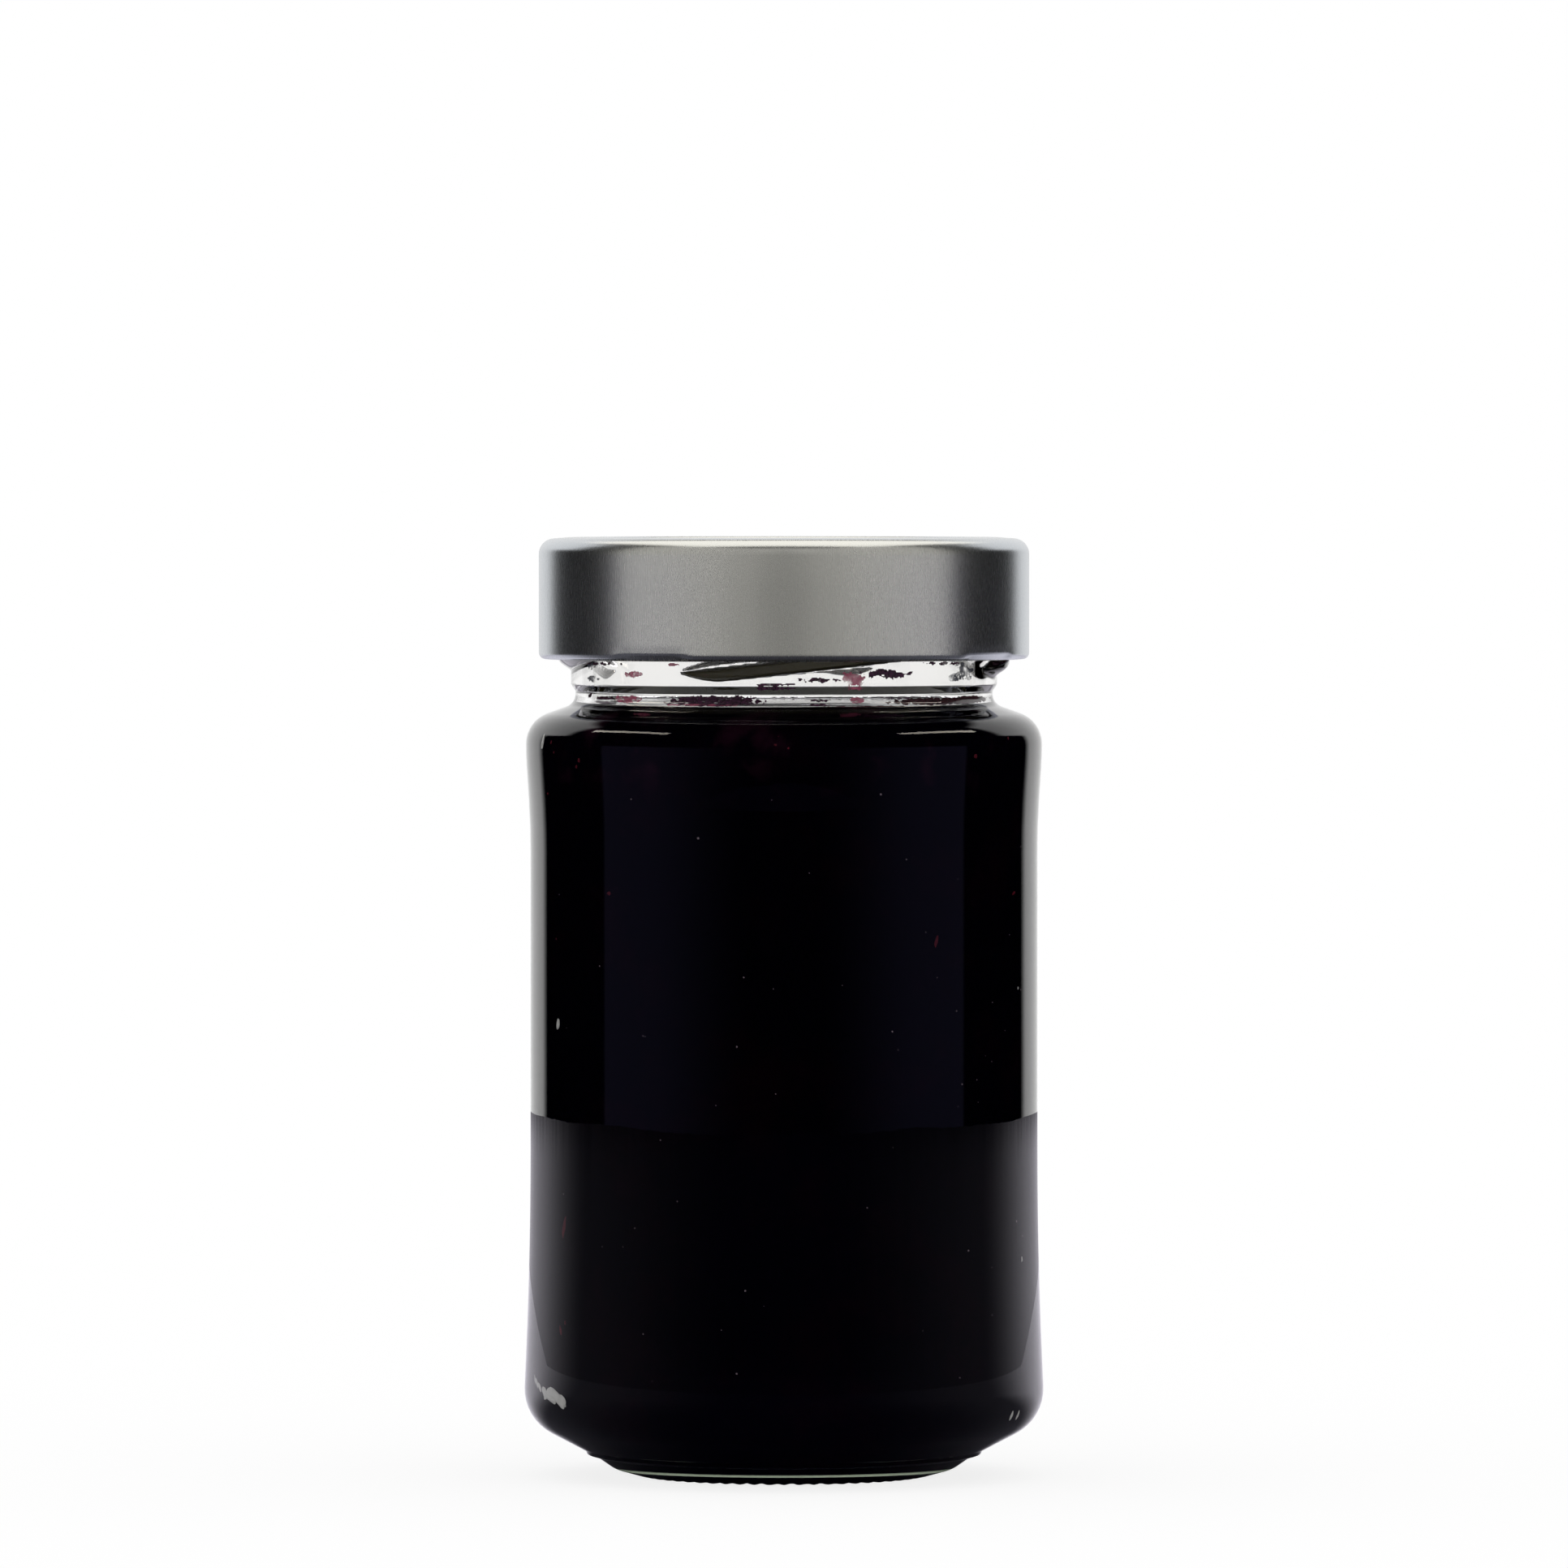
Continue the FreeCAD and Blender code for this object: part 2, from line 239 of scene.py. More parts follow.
def inside_outline(glass, inset=0.0):
    """The cavity from the middle of its floor up to the foot of the neck."""
    wall = glass.inner_radius - inset
    return [
        (0, 5.4 * MM + inset, 0),  # the floor
        (13.8 * MM, 5.4 * MM + inset, 20 * MM),
        (25.5 * MM - inset, 4.0 * MM + inset, 8 * MM),  # the toe
        (wall, 10.176 * MM + inset, 7.2 * MM),  # the lower bulge
        (wall, 109.931 * MM - inset, 4.8 * MM),  # the shoulder
        (glass.mouth_radius - inset, 112.321 * MM - inset, 4.6 * MM),  # the foot of the neck
    ]


# ---------------------------------------------------------------- modelling

def clear_selection():
    if bpy.context.mode != "OBJECT":
        bpy.ops.object.mode_set(mode="OBJECT")
    bpy.ops.object.select_all(action="DESELECT")


def only(piece):
    clear_selection()
    piece.select_set(True)
    bpy.context.view_layer.objects.active = piece


def start_at(name, point):
    """A new piece in edit mode that is one vertex, selected."""
    clear_selection()
    bpy.ops.mesh.primitive_plane_add(size=1 * MM, location=(0, 0, 0))
    piece = bpy.context.object
    piece.name = piece.data.name = name
    bpy.ops.object.mode_set(mode="EDIT")
    bpy.ops.mesh.select_all(action="SELECT")
    bpy.ops.mesh.merge(type="CENTER")
    bpy.ops.transform.translate(value=point)
    return piece


def draw(points):
    """Extrudes the selected vertex from the first point through the others, in the XZ plane."""
    for a, b in zip(points, points[1:]):
        step = (b.x - a.x, 0, b.y - a.y)
        bpy.ops.mesh.extrude_region_move(TRANSFORM_OT_translate={"value": step})


def turned(name, points, steps):
    """A piece made by spinning an outline once round the jar's axis."""
    piece = start_at(name, (points[0].x, 0, points[0].y))
    draw(points)
    bpy.ops.mesh.select_all(action="SELECT")
    bpy.ops.mesh.spin(steps=steps, angle=TURN, center=(0, 0, 0), axis=(0, 0, 1))
    bpy.ops.mesh.select_all(action="SELECT")
    bpy.ops.mesh.remove_doubles(threshold=0.002 * MM)
    bpy.ops.mesh.normals_make_consistent(inside=False)
    bpy.ops.object.mode_set(mode="OBJECT")
    return piece


def round_angle(point):
    """Angle round the jar from its front, towards +X."""
    return math.atan2(point.x, -point.y)


def away(angle_a, angle_b):
    """The signed angle from b to a, by the short way."""
    return (angle_a - angle_b + math.pi) % TURN - math.pi


def ease(value):
    value = min(1.0, max(0.0, value))
    return value * value * (3 - 2 * value)


def push(piece, name, weights, strength, direction):
    """Moves the vertices of a weight group with a Displace modifier, which is applied."""
    group = piece.vertex_groups.new(name=name)
    for index, weight in weights.items():
        group.add([index], weight, "REPLACE")
    only(piece)
    modifier = piece.modifiers.new(name, "DISPLACE")
    modifier.vertex_group = name
    modifier.mid_level = 0
    modifier.strength = strength
    modifier.direction = direction
    bpy.ops.object.modifier_apply(modifier=name)
    piece.vertex_groups.remove(piece.vertex_groups[name])


def smooth(piece, degrees=None):
    only(piece)
    if degrees is None:
        bpy.ops.object.shade_smooth()
    else:
        bpy.ops.object.shade_smooth_by_angle(angle=math.radians(degrees))


def inner_skin(glass):
    """Points along the inside of the glass, from the middle of its floor up to the seam."""
    return rounded(inside_outline(glass) + [(glass.mouth_radius, SEAM, 0)])


def inner_wall():
    """The same points without the floor."""
    glass, _, _ = sizes()
    floor_radius = 20 * MM
    return [point for point in inner_skin(glass) if point.x > floor_radius]


def radius_at(wall, height):
    for a, b in zip(wall, wall[1:]):
        if a.y <= height <= b.y:
            return a.x + (b.x - a.x) * (height - a.y) / max(b.y - a.y, 1e-9)
    return wall[-1].x


def finish_piece(piece, material, slot, *nodes):
    piece.data.materials.append(material)
    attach(piece, "root")
    if nodes:
        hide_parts(*nodes)


# ---------------------------------------------------------------- shaders

class Wire:
    """A shader socket that adds, subtracts, multiplies and divides like a number."""

    def __init__(self, shade, socket):
        self.shade = shade
        self.socket = socket

    def math(self, operation, first, second=None):
        values = {0: first} if second is None else {0: first, 1: second}
        return self.shade.node("Math", {"operation": operation}, values)

    def __add__(self, other):
        return self.math("ADD", self, other)

    def __sub__(self, other):
        return self.math("SUBTRACT", self, other)

    def __rsub__(self, other):
        return self.math("SUBTRACT", other, self)

    def __mul__(self, other):
        return self.math("MULTIPLY", self, other)

    def __truediv__(self, other):
        return self.math("DIVIDE", self, other)

    def __neg__(self):
        return self.math("MULTIPLY", self, -1.0)

    def __abs__(self):
        return self.math("ABSOLUTE", self)

    __radd__ = __add__
    __rmul__ = __mul__


class Shade:
    """The node tree of one finish."""

    def __init__(self, tree):
        self.tree = tree
        tree.nodes.clear()

    def node(self, kind, settings=None, values=None, out=0):
        made = self.tree.nodes.new("ShaderNode" + kind)
        for name, value in (settings or {}).items():
            setattr(made, name, value)
        for name, value in (values or {}).items():
            self.join(made.inputs[name], value)
        return Wire(self, made.outputs[out]) if made.outputs else None

    def join(self, socket, value):
        if isinstance(value, Wire):
            self.tree.links.new(value.socket, socket)
        elif isinstance(value, (tuple, list)) and len(value) == 3 and socket.type == "RGBA":
            socket.default_value = (*value, 1.0)
        else:
            socket.default_value = value

    def place(self):
        """Object coordinates as a vector, and as x, y and z."""
        vector = self.node("TexCoord", out="Object")
        return vector, *self.parts(vector)

    def parts(self, vector):
        """A vector's x, y and z."""
        split = self.node("SeparateXYZ", None, {0: vector})
        return tuple(Wire(self, output) for output in split.socket.node.outputs)

    def rays(self, *kinds):
        """For each kind of ray, whether this is one."""
        outputs = self.node("LightPath").socket.node.outputs
        return tuple(Wire(self, outputs[f"Is {kind} Ray"]) for kind in kinds)

    def turn(self, x, y):
        """The angle round the jar from its front, from -pi to pi."""
        return self.node("Math", {"operation": "ARCTAN2"}, {0: x, 1: -y})

    def vector(self, x, y, z):
        return self.node("CombineXYZ", None, {0: x, 1: y, 2: z})

    def noise(self, vector, scale, detail=2.0, roughness=0.5):
        values = {"Vector": vector, "Scale": scale, "Detail": detail, "Roughness": roughness}
        return self.node("TexNoise", None, values)

    def step(self, value, low, high, to_low=0.0, to_high=1.0):
        """A smooth change from one level to another as a value goes from low to high."""
        values = {"Value": value, "From Min": low, "From Max": high, "To Min": to_low, "To Max": to_high}
        return self.node("MapRange", {"interpolation_type": "SMOOTHSTEP"}, values)

    def mix(self, factor, a, b):
        return self.node("Mix", {"data_type": "RGBA"}, {0: factor, 6: a, 7: b}, out=2)

    def bump(self, height, distance):
        return self.node("Bump", None, {"Height": height, "Distance": distance, "Strength": 1.0})


def new_finish(name):
    material = bpy.data.materials.new(name)
    material.use_nodes = True
    return material, Shade(material.node_tree)


def times(tone, factor):
    """A colour made darker or lighter."""
    return tuple(min(1.0, part * factor) for part in tone)


def surface(shade, values):
    """Ends a finish in a Principled surface."""
    bsdf = shade.node("BsdfPrincipled", None, values)
    shade.node("OutputMaterial", None, {"Surface": bsdf})


def glass_finish(glass):
    material, shade = new_finish("flint glass")
    place, *_ = shade.place()
    slow = shade.noise(place, 42.0, 1.0)
    ripple = shade.noise(place, 260.0, 2.0)
    height = slow + ripple * 0.05
    surface(shade, {
        "Base Color": tuple(glass.tint),
        "Roughness": 0.0,
        "IOR": 1.5,
        "Transmission Weight": 1.0,
        "Normal": shade.bump(height, 0.02 * MM),
    })
    return material


def steel_finish(lid):
    material, shade = new_finish("satin steel")
    place, x, y, z = shade.place()
    _, _, up = shade.parts(shade.node("NewGeometry", out="Normal"))
    facing_up = shade.step(up, 0.6, 0.9)
    turn = shade.turn(x, y)
    across = turn * (1 - facing_up) + (x / lid.radius) * facing_up
    along = z * (1 - facing_up) + y * facing_up
    grain = shade.noise(shade.vector(across * 260.0, along * 420.0, 0.0), 1.0, 3.0, 0.6)
    strands = shade.noise(shade.vector(across * 60.0, along * 45.0, 4.0), 1.0, 2.0, 0.6)
    peel = shade.noise(place, 1500.0, 1.0)
    cloud = shade.noise(place, 38.0, 2.0)
    tone = shade.mix(strands * 0.5 + cloud * 0.5, times(lid.steel, 0.93), times(lid.steel, 1.05))
    surface(shade, {
        "Base Color": tone,
        "Metallic": 1.0,
        "Roughness": 0.23 + grain * 0.05 + cloud * 0.04,
        "Normal": shade.bump(grain * 0.6 + peel * 0.6, 0.008 * MM),
    })
    return material


def lacquer_finish(lid):
    material, shade = new_finish("gold lacquer")
    place, *_ = shade.place()
    patch = shade.noise(place, 90.0, 3.0)
    surface(shade, {
        "Base Color": shade.mix(patch, times(lid.lacquer, 0.7), times(lid.lacquer, 1.3)),
        "Roughness": 0.38 + patch * 0.1,
        "Normal": shade.bump(shade.noise(place, 900.0, 2.0), 0.01 * MM),
    })
    return material


def spread_finish(spread):
    material, shade = new_finish("dark fruit spread")
    place, _, _, z = shade.place()
    cloud = shade.noise(place, 70.0, 4.0, 0.6)
    pulp = shade.noise(place, 420.0, 3.0, 0.6)
    warm = shade.step(cloud * 0.7 + pulp * 0.3, 0.48, 0.66)
    on_top = shade.step(z, spread.top - 0.25 * MM, spread.top - 0.1 * MM)
    patches = shade.step(shade.noise(place, 160.0, 3.0), 0.55, 0.70)
    under_shoulder = shade.step(z, 99 * MM, 108 * MM) * patches
    deep = shade.mix(warm, tuple(spread.body_colour), tuple(spread.deep_colour))
    surface(shade, {
        "Base Color": shade.mix(under_shoulder * (1 - on_top), deep, tuple(spread.shoulder_colour)),
        "Roughness": 0.22 + pulp * 0.2,
        "Specular IOR Level": 0.0,
        "Coat Weight": on_top,
        "Coat Roughness": 0.01,
        "Normal": shade.bump((cloud + pulp * 0.2) * (1 - on_top), 0.01 * MM),
    })
    return material


def smear_finish(name, tone, thin):
    """Spread that hides what is behind it, except where it is thin."""
    material, shade = new_finish(name)
    place, *_ = shade.place()
    thick = shade.noise(place, 900.0, 4.0, 0.7)
    fine = shade.noise(place, 3200.0, 2.0)
    surface(shade, {
        "Base Color": shade.mix(shade.step(fine, 0.35, 0.7), tuple(tone), times(tone, 3.2)),
        "Roughness": 0.3 + fine * 0.2,
        "Specular IOR Level": 0.2,
        "Alpha": shade.step(thick, 0.36, 0.48, thin, 1.0),
        "Normal": shade.bump(fine, 0.05 * MM),
    })
    return material


def stain_finish(name, tone):
    """A film that lets most of the light through."""
    material, shade = new_finish(name)
    place, *_ = shade.place()
    patch = shade.noise(place, 700.0, 3.0, 0.6)
    surface(shade, {
        "Base Color": shade.mix(patch, times(tone, 0.7), tuple(tone)),
        "Roughness": 0.35 + patch * 0.1,
        "Specular IOR Level": 0.2,
        "Alpha": shade.step(patch, 0.30, 0.56, 0.1, 0.8),
    })
    return material


def bit_finish(name, tone, dark, roughness):
    """A small bit with patches of a darker shade of its colour."""
    material, shade = new_finish(name)
    place, *_ = shade.place()
    patch = shade.noise(place, 1300.0, 3.0)
    surface(shade, {
        "Base Color": shade.mix(patch, times(tone, dark), tuple(tone)),
        "Roughness": roughness + patch * 0.2,
        "Specular IOR Level": 0.1,
        "Normal": shade.bump(patch, 0.03 * MM),
    })
    return material


# ---------------------------------------------------------------- pieces

class JAR_OT_glass(bpy.types.Operator):
    """Turns the glass jar and raises its threads and the knurls of its standing ring"""
    bl_idname = "jar.glass"
    bl_label = "Glass jar"

    THREADED = (116.8 * MM, 127.2 * MM)  # heights between which the outline is fine
    FADE = 0.12  # share of a thread over which each end fades
    CREST = 0.45 * MM  # height of its flat crest above its line
    ABOVE_CREST = 0.65 * MM  # height of its slope above the crest
    BELOW_CREST = 2.0 * MM  # and below its line
    KNURLED = (17.6 * MM, 23 * MM)  # radii between which the knurls lie

    def thread_weight(self, glass, point):
        """How far out of the finish the glass stands here, from 0 to 1."""
        if math.hypot(point.x, point.y) < glass.finish_radius - 0.02 * MM:
            return 0.0
        weight = 0.0
        for start in range(STARTS):
            late = glass.second_thread_late if start == 1 else 0.0
            turn = (round_angle(point) - glass.thread_start - late - TURN * start / STARTS) % TURN
            share = turn / glass.thread_sweep
            if share > 1:
                continue
            fade = math.sin(min(1.0, share / self.FADE, (1 - share) / self.FADE) * math.pi / 2)
            above = (point.z - glass.thread_height - glass.thread_lead * turn / TURN) / (0.05 + 0.95 * fade)
            if above > 0:
                flank = 1 - max(0, above - self.CREST) / self.ABOVE_CREST
            else:
                flank = 1 + above / self.BELOW_CREST
            weight = max(weight, fade * ease(flank * 1.1) if flank > 0 else 0)
        return weight

    def knurl_weight(self, glass, point):
        low, high = self.KNURLED
        if point.z > 1.2 * MM or not low < math.hypot(point.x, point.y) < high:
            return 0.0
        wave = 0.5 - 0.5 * math.cos(round_angle(point) * glass.knurl_count)
        wave *= 0.7 + 0.6 * noise.noise(Vector((point.x, point.y, 0)) / (1.7 * MM))
        return ease(1 - point.z / (0.9 * MM)) * wave

    def execute(self, context):
        glass, _, _ = sizes()
        mouth = [(glass.mouth_radius, glass.rim_height, RIM_ROUND), (glass.mouth_radius, SEAM, 0)]
        outer = rounded(outside_outline(glass) + mouth)
        low, high = self.THREADED
        outer = finer(outer, low, high, 0.24 * MM, glass.finish_radius - 0.1 * MM)
        points = outer + inner_skin(glass)[::-1][1:]
        piece = turned("glass_jar", points, 360)
        for name, weigh, strength, direction in (
            ("threads", self.thread_weight, glass.thread_rise, "NORMAL"),
            ("knurls", self.knurl_weight, glass.knurl_depth, "Z"),
        ):
            weights = {v.index: weigh(glass, v.co) for v in piece.data.vertices}
            push(piece, name, {i: w for i, w in weights.items() if w > 0}, strength, direction)
        smooth(piece)
        finish_piece(piece, glass_finish(glass), "glass", "jar_glass")
        return {"FINISHED"}


class JAR_OT_lid(bpy.types.Operator):
    """Turns the pressed lid with its rolled edge and presses its lugs"""
    bl_idname = "jar.lid"
    bl_label = "Lid"

    # Where the roll's outer and inner skin go at a lug: share of the roll,
    # and the distance inside the skirt and the height in mm
    LUG_SKIN = (
        (0, 0, 0.95), (0.35, 0.85, 0), (0.55, 3.1, 0),
        (0.69, 3.65, 0.46), (0.85, 3.1, 0.92), (1, 0.9, 0.92),
    )
    LUG_LINING = (
        (0, 0.22, 0.95), (0.35, 0.9, 0.2), (0.55, 3.0, 0.2),
        (0.69, 3.4, 0.46), (0.85, 3.0, 0.72), (1, 0.95, 0.72),
    )
    CURL_TURN = math.radians(260)
    CURL_PARTS = 22
    SEAT_RADIUS = 31.5 * MM  # where the top is highest
    EDGE_DROP = 0.35 * MM  # from there down to the skirt's round
    EDGE_ROUND = 2.3 * MM
    DRAWN = 0.10 * MM  # how far a lug draws the skirt's foot in

    def shell(self, lid, inset):
        top = lid.top - inset
        panel = lid.panel_radius + inset * math.tan(math.pi / 8)
        return [
            (0, top - lid.panel_drop, 0),
            (panel, top - lid.panel_drop, 0.5 * MM + inset),
            (panel + lid.panel_drop, top, 0.7 * MM - inset),
            (self.SEAT_RADIUS, top, 8 * MM),
            (lid.radius - inset, top - self.EDGE_DROP, self.EDGE_ROUND - inset),
            (lid.radius - inset, lid.bottom + 6 * MM, 0),
            (lid.radius - inset, lid.bottom + 3 * MM, 0),
            (lid.radius - inset, lid.bottom + lid.curl_radius, 0),
        ]

    def skin(self, lid, inset):
        """The points of one skin, from the middle of the top down to the roll, finer near its foot."""
        return finer(rounded(self.shell(lid, inset)), lid.bottom, lid.bottom + 3.1 * MM, 0.3 * MM, 30 * MM)

    def curl_centre(self, lid):
        return Vector((lid.radius - lid.curl_radius, lid.bottom + lid.curl_radius))

    def curl(self, lid, radius):
        turns = [-self.CURL_TURN * i / self.CURL_PARTS for i in range(1, self.CURL_PARTS + 1)]
        return [self.curl_centre(lid) + radius * Vector((math.cos(a), math.sin(a))) for a in turns]

    def lug_point(self, lid, point):
        """Where a point of the roll goes at a lug, as (radius, height)."""
        arm = Vector((math.hypot(point.x, point.y), point.z)) - self.curl_centre(lid)
        share = (-math.atan2(arm.y, arm.x)) % TURN / self.CURL_TURN
        if share > 1.2:
            share = 0.0
        keys = self.LUG_SKIN if arm.length > lid.curl_radius - lid.sheet / 2 else self.LUG_LINING
        for (a, *here), (b, *there) in zip(keys, keys[1:]):
            if share <= b:
                break
        mix = min(1.0, (share - a) / (b - a))
        inside, height = Vector(here).lerp(Vector(there), mix)
        return lid.radius - inside * MM, lid.bottom + height * MM

    def press_lugs(self, lid, piece):
        """Flattens the roll into a lug at each start, and draws the skirt's foot in a little there."""
        foot = lid.bottom + lid.curl_radius
        for vertex in piece.data.vertices:
            point = vertex.co
            turn = round_angle(point)
            near = min(abs(away(turn, lid.lug_angle + TURN * i / STARTS)) for i in range(STARTS))
            weight = ease((lid.lug_half + math.radians(2.0) - near) / math.radians(3.6))
            radius = math.hypot(point.x, point.y)
            if weight <= 0 or radius < lid.radius - 2.2 * MM or point.z > lid.bottom + 4 * MM:
                continue
            if point.z < foot + 0.001 * MM:
                lug_radius, lug_z = self.lug_point(lid, point)
            else:
                lug_radius, lug_z = radius, point.z
            lug_radius -= self.DRAWN * ease((lid.bottom + 2.6 * MM - point.z) / (2.2 * MM))
            new_radius = radius + (lug_radius - radius) * weight
            vertex.co = (
                point.x / radius * new_radius,
                point.y / radius * new_radius,
                point.z + (lug_z - point.z) * weight,
            )

    def is_lining(self, lid, face):
        """Whether a face is on the lid's inside, above the roll."""
        middle, normal = face.center, face.normal
        if middle.z >= lid.top - 1.5 * MM:
            return normal.z < -0.1
        inward = middle.x * normal.x + middle.y * normal.y < 0
        within = math.hypot(middle.x, middle.y) < lid.radius - 0.1 * MM
        return inward and within and middle.z > lid.bottom + 0.9 * MM

    def execute(self, context):
        _, lid, _ = sizes()
        outer = self.skin(lid, 0.0) + self.curl(lid, lid.curl_radius)
        inner = self.skin(lid, lid.sheet) + self.curl(lid, lid.curl_radius - lid.sheet)
        piece = turned("pressed_lid", outer + inner[::-1], 288)
        self.press_lugs(lid, piece)
        finish_piece(piece, steel_finish(lid), "lid_metal", "lid")
        piece.data.materials.append(lacquer_finish(lid))
        for face in piece.data.polygons:
            face.material_index = int(self.is_lining(lid, face))
        smooth(piece, 50)
        return {"FINISHED"}


class JAR_OT_spread(bpy.types.Operator):
    """Turns the fruit spread, a little wider than the cavity so that no air shows between it and the glass"""
    bl_idname = "jar.spread"
    bl_label = "Fruit spread"

    def execute(self, context):
        glass, _, spread = sizes()
        edge = glass.mouth_radius + spread.reach
        high = spread.top + spread.climb
        longest = 4 * MM
        side = rounded(inside_outline(glass, -spread.reach) + [(edge, SEAM, 0)], longest=longest)
        points = [point for point in side if point.y < high - 0.02 * MM]
        last, above = points[-1], side[len(points)]
        rim = last.lerp(above, (high - last.y) / (above.y - last.y))
        surface_line = [(rim.x, high, 0), (rim.x - 3 * MM, spread.top, 12 * MM), (0, spread.top, 0)]
        points += rounded(surface_line, longest=longest)
        piece = turned("fruit_spread_fill", points, 240)
        smooth(piece, 40)
        finish_piece(piece, spread_finish(spread), "spread", "fruit_spread")
        return {"FINISHED"}


def film(spec, wall, seed, material):
    """A thin ragged patch of spread on the inside of the neck."""
    around, height, half_turn, half_tall, ragged = spec
    around, half_turn = math.radians(around), math.radians(half_turn)
    height, half_tall = height * MM, half_tall * MM
    cell = 0.11 * MM
    margin = 1.3
    radius = wall[-1].x
    first, last = around - margin * half_turn, around + margin * half_turn
    low, high = height - margin * half_tall, height + margin * half_tall
    rows = max(4, round((high - low) / cell))
    columns = max(6, round((last - first) * radius / cell))
    piece = start_at("smear", (radius * math.sin(last), -radius * math.cos(last), low))
    for _ in range(rows):
        bpy.ops.mesh.extrude_region_move(TRANSFORM_OT_translate={"value": (0, 0, (high - low) / rows)})
    bpy.ops.mesh.select_all(action="SELECT")
    bpy.ops.mesh.spin(steps=columns, angle=last - first, center=(0, 0, 0), axis=(0, 0, 1))
    bpy.ops.mesh.select_all(action="DESELECT")
    bpy.ops.object.mode_set(mode="OBJECT")
    for vertex in piece.data.vertices:
        point = vertex.co
        across = away(round_angle(point), around) / half_turn
        up = (point.z - height) / half_tall
        rough = noise.fractal(point / (0.9 * MM) + Vector((seed * 7.3, 0, 0)), 0.6, 2.2, 4)
        vertex.select = across * across + up * up > 1 + ragged * rough
        vertex.co *= radius_at(wall, point.z) / radius
        vertex.co.z = height + up * half_tall
    bpy.ops.object.mode_set(mode="EDIT")
    bpy.ops.mesh.delete(type="VERT")
    bpy.ops.mesh.select_all(action="SELECT")
    bpy.ops.mesh.normals_make_consistent(inside=False)
    bpy.ops.object.mode_set(mode="OBJECT")
    modifier = piece.modifiers.new("thickness", "SOLIDIFY")
    modifier.thickness = 0.14 * MM
    modifier.offset = 0
    bpy.ops.object.modifier_apply(modifier="thickness")
    piece.data.materials.append(material)
    return piece


def joined(name, pieces):
    """One piece made of several, riding on the jar."""
    clear_selection()
    for piece in pieces:
        piece.select_set(True)
    bpy.context.view_layer.objects.active = pieces[0]
    bpy.ops.object.join()
    piece = bpy.context.object
    piece.name = piece.data.name = name
    smooth(piece, 60)
    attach(piece, "root")
    return piece


class JAR_OT_smears(bpy.types.Operator):
    """Lays the smears and stains of spread on the inside of the neck"""
    bl_idname = "jar.smears"
    bl_label = "Smears"

    # Middle as an angle in degrees and a height in mm, half widths of the same, raggedness
    THICK = (
        (-20.5, 114.6, 15, 1.25, 0.7),
        (-62, 113.75, 5.5, 0.42, 0.5),
        (-72, 115.4, 1.6, 0.62, 1.2),
        (-62, 114.9, 4.0, 0.4, 2.4),
        (-4, 117.45, 5.5, 0.22, 1.8),
        (10, 118.1, 5.0, 0.36, 1.8),
        (30, 118.9, 7.5, 0.62, 1.3),
        (10.5, 114.8, 2.8, 0.34, 1.0),
        (10.5, 113.85, 3.2, 0.36, 0.8),
        (21, 114.2, 0.5, 0.16, 0.3),
        (35, 115.2, 6.5, 0.14, 2.4),
        (-65, 120.3, 10, 0.22, 2.6),
        (51, 120.4, 7.5, 0.22, 2.6),
        (140, 114.3, 24, 0.5, 1.6),
        (-150, 114.4, 15, 0.6, 1.5),
        (96, 114.4, 12, 0.5, 1.5),
    )
    RED = (
        (50, 114.3, 20, 0.95, 0.7),
        (66, 114.4, 13, 1.1, 0.5),
        (22, 113.3, 13, 0.26, 1.1),
        (-61, 115.0, 5.0, 0.34, 2.0),
        (170, 114.2, 14, 0.5, 1.4),
        (-112, 114.4, 16, 0.65, 1.2),
    )
    STAINS = (
        (-51, 114.8, 6.0, 0.95, 0.8),
        (-33.5, 120.3, 1.8, 0.26, 0.8),
        (-48, 118.8, 3.6, 0.5, 0.7),
        (20, 118.3, 3.8, 1.0, 0.9),
        (21, 114.8, 2.4, 0.75, 0.8),
        (-25, 113.7, 10, 0.3, 1.5),
    )
    GREY = (
        (-68, 118.0, 3.2, 0.45, 1.2),
        (62, 119.0, 4.5, 1.4, 1.5),
        (57, 118.3, 3.0, 0.6, 1.5),
        (-70, 120.0, 3.0, 0.5, 1.5),
    )

    def execute(self, context):
        _, _, spread = sizes()
        wall = inner_wall()
        kinds = (
            (self.THICK, smear_finish("thick smear", spread.smear_colour, 0.65)),
            (self.RED, smear_finish("red smear", spread.red_colour, 0.9)),
            (self.STAINS, stain_finish("thin stain", spread.stain_colour)),
            (self.GREY, stain_finish("dried film", spread.grey_colour)),
        )
        films = []
        for specs, material in kinds:
            for spec in specs:
                films.append(film(spec, wall, len(films), material))
        joined("smears", films)
        return {"FINISHED"}


def seated(source, wall, turn, height, size, sunk, spin):
    """A copy of a bit, turned to lie against the glass at an angle and height."""
    copy = source.copy()
    copy.data = source.data.copy()
    bpy.context.scene.collection.objects.link(copy)
    radius = radius_at(wall, height) - sunk
    outward = Vector((math.sin(turn), -math.cos(turn), 0))
    matrix = (
        Matrix.Translation(outward * radius + Vector((0, 0, height)))
        @ Matrix.Rotation(turn, 4, "Z")
        @ Matrix.Rotation(spin, 4, "Y")
        @ Matrix.Diagonal((*size, 1))
    )
    copy.data.transform(matrix)
    return copy


def bit(name, material, lumps):
    """One bit, a unit across. Each value of lumps makes it lumpy in another way."""
    clear_selection()
    bpy.ops.mesh.primitive_ico_sphere_add(subdivisions=3, radius=0.5)
    piece = bpy.context.object
    piece.name = name
    shift = Vector((lumps, 0, 0))
    weights = {v.index: 0.5 + 0.5 * noise.noise(v.co * 3.1 + shift) for v in piece.data.vertices}
    push(piece, "lumps", weights, 0.35, "NORMAL")
    piece.data.materials.append(material)
    return piece


